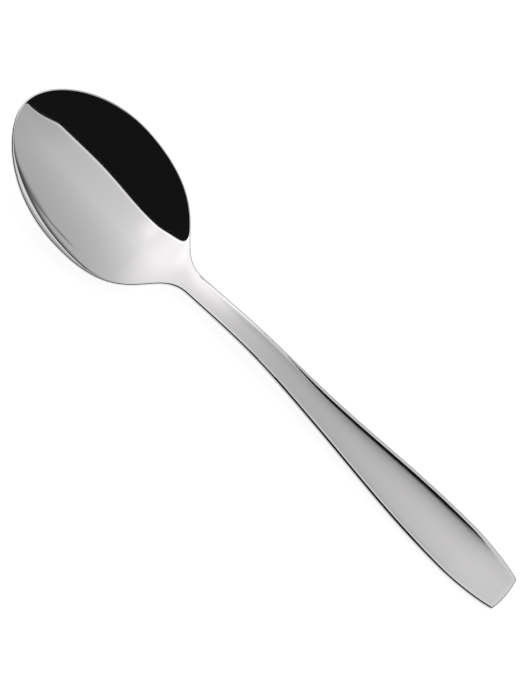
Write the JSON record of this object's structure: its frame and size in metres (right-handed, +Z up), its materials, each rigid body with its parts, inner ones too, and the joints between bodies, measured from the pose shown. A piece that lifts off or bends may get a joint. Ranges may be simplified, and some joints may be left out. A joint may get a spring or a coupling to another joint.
{
  "type": "dessert spoon",
  "caption": "Polished stainless steel dessert spoon with an oval bowl, a slim neck and a gently dished handle that widens to a squared-off end.",
  "frame": {"origin": "on the table, under the middle of the spoon's length and width", "axes": "+X from the tip of the bowl to the end of the handle, +Y to the side, +Z up, out of the open bowl"},
  "size_m": [0.185, 0.0402, 0.0161],
  "materials": {
    "polished_steel": "stainless steel, mirror polished in the bowl and finely polished along the handle"
  },
  "bodies": {
    "root": {"spoon": "polished_steel"}
  },
  "joints": []
}
